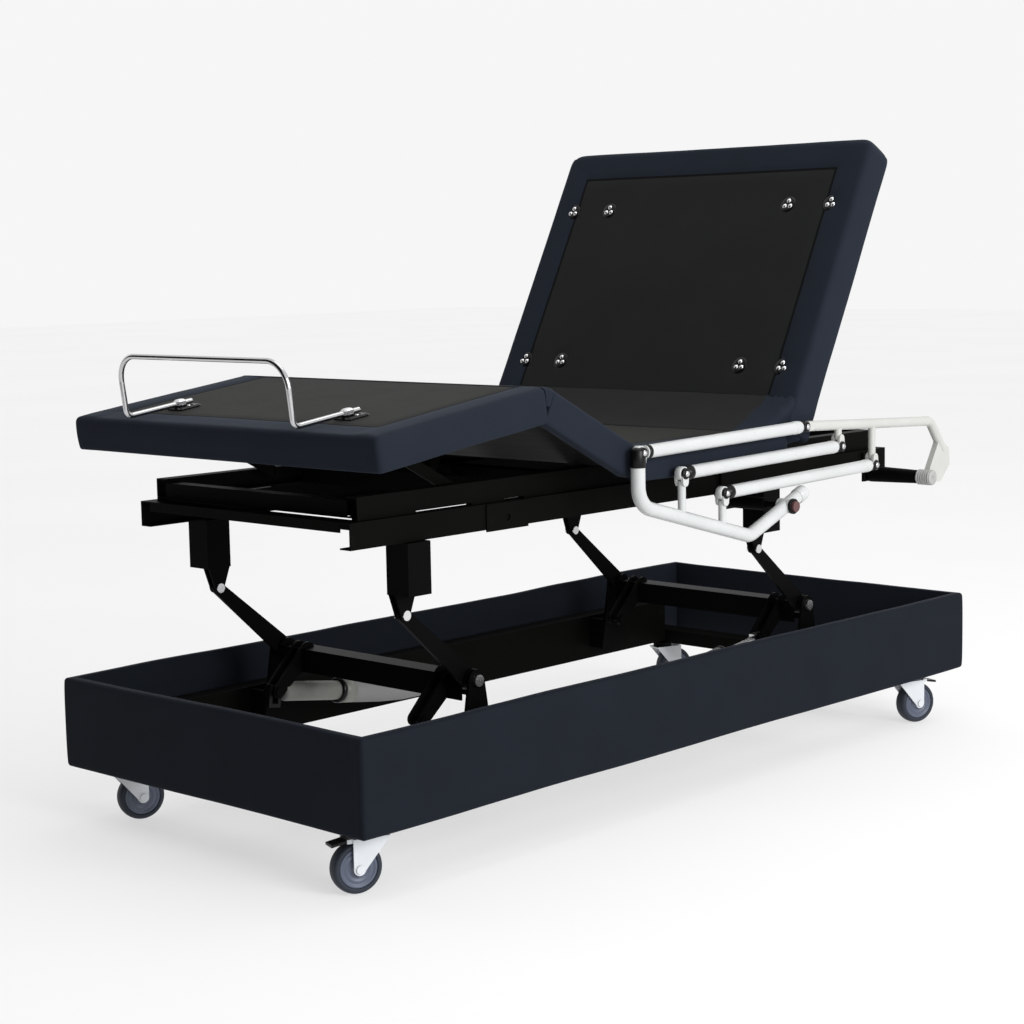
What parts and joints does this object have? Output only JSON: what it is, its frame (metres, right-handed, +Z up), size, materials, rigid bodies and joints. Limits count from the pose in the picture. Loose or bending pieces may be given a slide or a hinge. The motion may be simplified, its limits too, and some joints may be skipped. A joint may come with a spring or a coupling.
{
  "type": "adjustable bed base",
  "caption": "Adjustable bed base: castored upholstered box, parallelogram lift, folding back and leg platform, side rail and mattress retainer.",
  "frame": {"origin": "on the floor under the centre of the bounding box", "axes": "+X to the side with the rail, +Y to the head end, +Z up; the rest pose is raised with the back and thigh sections up"},
  "size_m": [0.974, 2.04, 1.4239],
  "materials": {
    "actuator_rod": "ground and plated rod",
    "actuator_shell": "grey moulded housing",
    "base_fabric": "dark woven upholstery over board, satin",
    "board": "dark laminated board",
    "bright_steel": "polished chrome",
    "control_plastic": "black moulded",
    "fork_steel": "light grey enamel",
    "frame_steel": "black powder coat, fine texture",
    "knob_plastic": "dark red-brown moulded",
    "lift_steel": "black powder coat, fine texture",
    "pedal_plastic": "black moulded",
    "platform_fabric": "charcoal ribbed upholstery fabric, slight sheen",
    "rail_enamel": "off-white enamel",
    "sleeve_plastic": "grey moulded sleeve",
    "wheel": "dark tyre on a grey hub",
    "zinc_steel": "bright zinc plate"
  },
  "bodies": {
    "base": {"base_panel_left": "base_fabric", "base_panel_right": "base_fabric", "base_panel_foot": "base_fabric", "base_panel_head": "base_fabric", "base_frame": "frame_steel", "lift_pivot_brackets": "lift_steel", "base_pivot_pins": "zinc_steel", "castor_plates": "frame_steel"},
    "foot_lift_arms": {"lift_frame_foot": "lift_steel"},
    "head_lift_arms": {"lift_frame_head": "lift_steel"},
    "foot_lift_motor": {"lift_actuator_body_foot": "actuator_shell"},
    "foot_lift_rod": {"lift_actuator_rod_foot": "sleeve_plastic"},
    "head_lift_motor": {"lift_actuator_body_head": "actuator_shell"},
    "head_lift_rod": {"lift_actuator_rod_head": "actuator_rod"},
    "chassis": {"chassis_rail_left": "frame_steel", "chassis_rail_right": "frame_steel", "chassis_cross_members": "frame_steel", "control_box": "control_plastic", "lift_posts": "lift_steel", "lift_upper_pins": "zinc_steel", "deck_rail_left": "frame_steel", "deck_rail_right": "frame_steel", "deck_cross_members": "frame_steel", "seat_board": "board", "seat_pad": "platform_fabric", "seat_hinge_leaves": "frame_steel", "rail_mounts": "frame_steel"},
    "back": {"back_board": "board", "back_pad": "platform_fabric", "back_screws": "zinc_steel", "back_hinges_and_lever": "frame_steel"},
    "thigh": {"thigh_board": "board", "thigh_pad": "platform_fabric", "thigh_hinges_and_lever": "frame_steel"},
    "foot": {"foot_board": "board", "foot_pad": "platform_fabric", "foot_hinges_and_brackets": "frame_steel", "retainer_bar": "bright_steel", "retainer_clips": "pedal_plastic"},
    "foot_links": {"leg_links": "frame_steel"},
    "back_motor": {"back_actuator_body": "actuator_shell"},
    "back_rod": {"back_actuator_rod": "actuator_rod"},
    "leg_motor": {"leg_actuator_body": "actuator_shell"},
    "leg_rod": {"leg_actuator_rod": "actuator_rod"},
    "rail_foot_end": {"rail_arm_foot": "rail_enamel"},
    "rail_head_end": {"rail_arm_head": "rail_enamel"},
    "rail_top": {"rail_bar_top": "rail_enamel"},
    "rail_middle": {"rail_bar_middle": "rail_enamel"},
    "rail_bottom": {"rail_bar_bottom": "rail_enamel"},
    "release_knob": {"rail_release_knob": "knob_plastic"},
    "castor_foot_left": {"castor_fork_foot_left": "fork_steel"},
    "wheel_foot_left": {"castor_wheel_foot_left": "wheel"},
    "pedal_foot_left": {"brake_pedal_foot_left": "pedal_plastic"},
    "castor_foot_right": {"castor_fork_foot_right": "fork_steel"},
    "wheel_foot_right": {"castor_wheel_foot_right": "wheel"},
    "castor_head_left": {"castor_fork_head_left": "fork_steel"},
    "wheel_head_left": {"castor_wheel_head_left": "wheel"},
    "pedal_head_left": {"brake_pedal_head_left": "pedal_plastic"},
    "castor_head_right": {"castor_fork_head_right": "fork_steel"},
    "wheel_head_right": {"castor_wheel_head_right": "wheel"}
  },
  "joints": [
    {"name": "lift", "type": "hinge", "parent": "base", "child": "foot_lift_arms", "pos_m": [-0.027, -0.562, 0.33], "axis": [1, 0, 0], "range_deg": [0, 70]},
    {"name": "lift_head_arms", "type": "hinge", "parent": "base", "child": "head_lift_arms", "pos_m": [-0.027, 0.572, 0.33], "axis": [1, 0, 0], "range_deg": [-0.5, 70.5]},
    {"name": "lift_chassis", "type": "hinge", "parent": "foot_lift_arms", "child": "chassis", "pos_m": [-0.027, -0.742, 0.485], "axis": [1, 0, 0], "range_deg": [-70.5, 0.5]},
    {"name": "foot_lift_motor_pitch", "type": "hinge", "parent": "base", "child": "foot_lift_motor", "pos_m": [-0.249, -0.152, 0.178], "axis": [1, 0, 0], "range_deg": [-0.3, 1.8]},
    {"name": "foot_lift_motor_stroke", "type": "slide", "parent": "foot_lift_motor", "child": "foot_lift_rod", "axis": [0, -0.9887, 0.1498], "range_m": [-0.13209, 0.001]},
    {"name": "head_lift_motor_pitch", "type": "hinge", "parent": "base", "child": "head_lift_motor", "pos_m": [0.195, 0.047, 0.19], "axis": [1, 0, 0], "range_deg": [-5.05, 0.3]},
    {"name": "head_lift_motor_stroke", "type": "slide", "parent": "head_lift_motor", "child": "head_lift_rod", "axis": [0, 0.9899, 0.1417], "range_m": [-0.001, 0.1258]},
    {"name": "back_tilt", "type": "hinge", "parent": "chassis", "child": "back", "pos_m": [-0.027, 0.281, 0.774], "axis": [1, 0, 0], "range_deg": [-62.4, 0]},
    {"name": "back_motor_pitch", "type": "hinge", "parent": "chassis", "child": "back_motor", "pos_m": [0.033, 0.01, 0.615], "axis": [1, 0, 0], "range_deg": [-18.47, 0.3]},
    {"name": "back_motor_stroke", "type": "slide", "parent": "back_motor", "child": "back_rod", "axis": [0, 0.9574, 0.2888], "range_m": [-0.13659, 0.001]},
    {"name": "thigh_tilt", "type": "hinge", "parent": "chassis", "child": "thigh", "pos_m": [-0.027, -0.229, 0.774], "axis": [1, 0, 0], "range_deg": [0, 27.65]},
    {"name": "leg_motor_pitch", "type": "hinge", "parent": "chassis", "child": "leg_motor", "pos_m": [-0.087, -0.01, 0.615], "axis": [1, 0, 0], "range_deg": [-0.3, 7.43]},
    {"name": "leg_motor_stroke", "type": "slide", "parent": "leg_motor", "child": "leg_rod", "axis": [0, -0.9878, 0.156], "range_m": [-0.06785, 0.001]},
    {"name": "foot_fold", "type": "hinge", "parent": "thigh", "child": "foot", "pos_m": [-0.027, -0.50712, 0.86891], "axis": [1, 0, 0], "range_deg": [-35.65, 0.3]},
    {"name": "foot_links_swing", "type": "hinge", "parent": "chassis", "child": "foot_links", "pos_m": [-0.027, -0.584, 0.717], "axis": [1, 0, 0], "range_deg": [-0.3, 36.21]},
    {"name": "rail_fold", "type": "hinge", "parent": "chassis", "child": "rail_foot_end", "pos_m": [0.458, 0.24, 0.614], "axis": [1, 0, 0], "range_deg": [-72, 0]},
    {"name": "rail_head_end", "type": "hinge", "parent": "chassis", "child": "rail_head_end", "pos_m": [0.458, 0.805, 0.626], "axis": [1, 0, 0], "range_deg": [-72.5, 0.5]},
    {"name": "rail_level_top", "type": "hinge", "parent": "rail_foot_end", "child": "rail_top", "pos_m": [0.458, -0.262, 0.772], "axis": [1, 0, 0], "range_deg": [-0.5, 72.5]},
    {"name": "rail_level_middle", "type": "hinge", "parent": "rail_foot_end", "child": "rail_middle", "pos_m": [0.458, -0.1255, 0.718], "axis": [1, 0, 0], "range_deg": [-0.5, 72.5]},
    {"name": "rail_level_bottom", "type": "hinge", "parent": "rail_foot_end", "child": "rail_bottom", "pos_m": [0.458, 0.011, 0.664], "axis": [1, 0, 0], "range_deg": [-0.5, 72.5]},
    {"name": "knob_pull", "type": "slide", "parent": "chassis", "child": "release_knob", "axis": [1, 0, 0], "range_m": [0, 0.008]},
    {"name": "swivel_foot_left", "type": "hinge", "parent": "base", "child": "castor_foot_left", "pos_m": [0.358, -0.93, 0.1055], "axis": [0, 0, 1], "continuous": true},
    {"name": "roll_foot_left", "type": "hinge", "parent": "castor_foot_left", "child": "wheel_foot_left", "pos_m": [0.34603, -0.96289, 0.05], "axis": [-0.9397, 0.342, 0], "continuous": true},
    {"name": "brake_foot_left", "type": "hinge", "parent": "castor_foot_left", "child": "pedal_foot_left", "pos_m": [0.33987, -0.9798, 0.1045], "axis": [-0.9397, 0.342, 0], "range_deg": [-12, 0]},
    {"name": "swivel_foot_right", "type": "hinge", "parent": "base", "child": "castor_foot_right", "pos_m": [-0.412, -0.93, 0.1055], "axis": [0, 0, 1], "continuous": true},
    {"name": "roll_foot_right", "type": "hinge", "parent": "castor_foot_right", "child": "wheel_foot_right", "pos_m": [-0.40003, -0.89711, 0.05], "axis": [0.9397, -0.342, 0], "continuous": true},
    {"name": "swivel_head_left", "type": "hinge", "parent": "base", "child": "castor_head_left", "pos_m": [0.358, 0.868, 0.1055], "axis": [0, 0, 1], "continuous": true},
    {"name": "roll_head_left", "type": "hinge", "parent": "castor_head_left", "child": "wheel_head_left", "pos_m": [0.36997, 0.90089, 0.05], "axis": [0.9397, -0.342, 0], "continuous": true},
    {"name": "brake_head_left", "type": "hinge", "parent": "castor_head_left", "child": "pedal_head_left", "pos_m": [0.37613, 0.9178, 0.1045], "axis": [0.9397, -0.342, 0], "range_deg": [-12, 0]},
    {"name": "swivel_head_right", "type": "hinge", "parent": "base", "child": "castor_head_right", "pos_m": [-0.412, 0.868, 0.1055], "axis": [0, 0, 1], "continuous": true},
    {"name": "roll_head_right", "type": "hinge", "parent": "castor_head_right", "child": "wheel_head_right", "pos_m": [-0.40003, 0.90089, 0.05], "axis": [0.9397, -0.342, 0], "continuous": true}
  ],
  "couplings": [
    {"joint": "lift_head_arms", "follows": "lift", "ratio": 1},
    {"joint": "lift_chassis", "follows": "lift", "ratio": -1},
    {"joint": "foot_lift_motor_pitch", "follows": "lift", "ratio": 0.021402},
    {"joint": "foot_lift_motor_stroke", "follows": "lift", "m_per_rad": -0.1073},
    {"joint": "head_lift_motor_pitch", "follows": "lift", "ratio": -0.067793},
    {"joint": "head_lift_motor_stroke", "follows": "lift", "m_per_rad": 0.10215},
    {"joint": "back_motor_pitch", "follows": "back_tilt", "ratio": 0.29124},
    {"joint": "back_motor_stroke", "follows": "back_tilt", "m_per_rad": 0.1245},
    {"joint": "leg_motor_pitch", "follows": "thigh_tilt", "ratio": 0.25776},
    {"joint": "leg_motor_stroke", "follows": "thigh_tilt", "m_per_rad": -0.13852},
    {"joint": "foot_fold", "follows": "thigh_tilt", "ratio": -1.2785},
    {"joint": "foot_links_swing", "follows": "thigh_tilt", "ratio": 1.2986},
    {"joint": "rail_head_end", "follows": "rail_fold", "ratio": 1},
    {"joint": "rail_level_top", "follows": "rail_fold", "ratio": -1},
    {"joint": "rail_level_middle", "follows": "rail_fold", "ratio": -1},
    {"joint": "rail_level_bottom", "follows": "rail_fold", "ratio": -1}
  ]
}
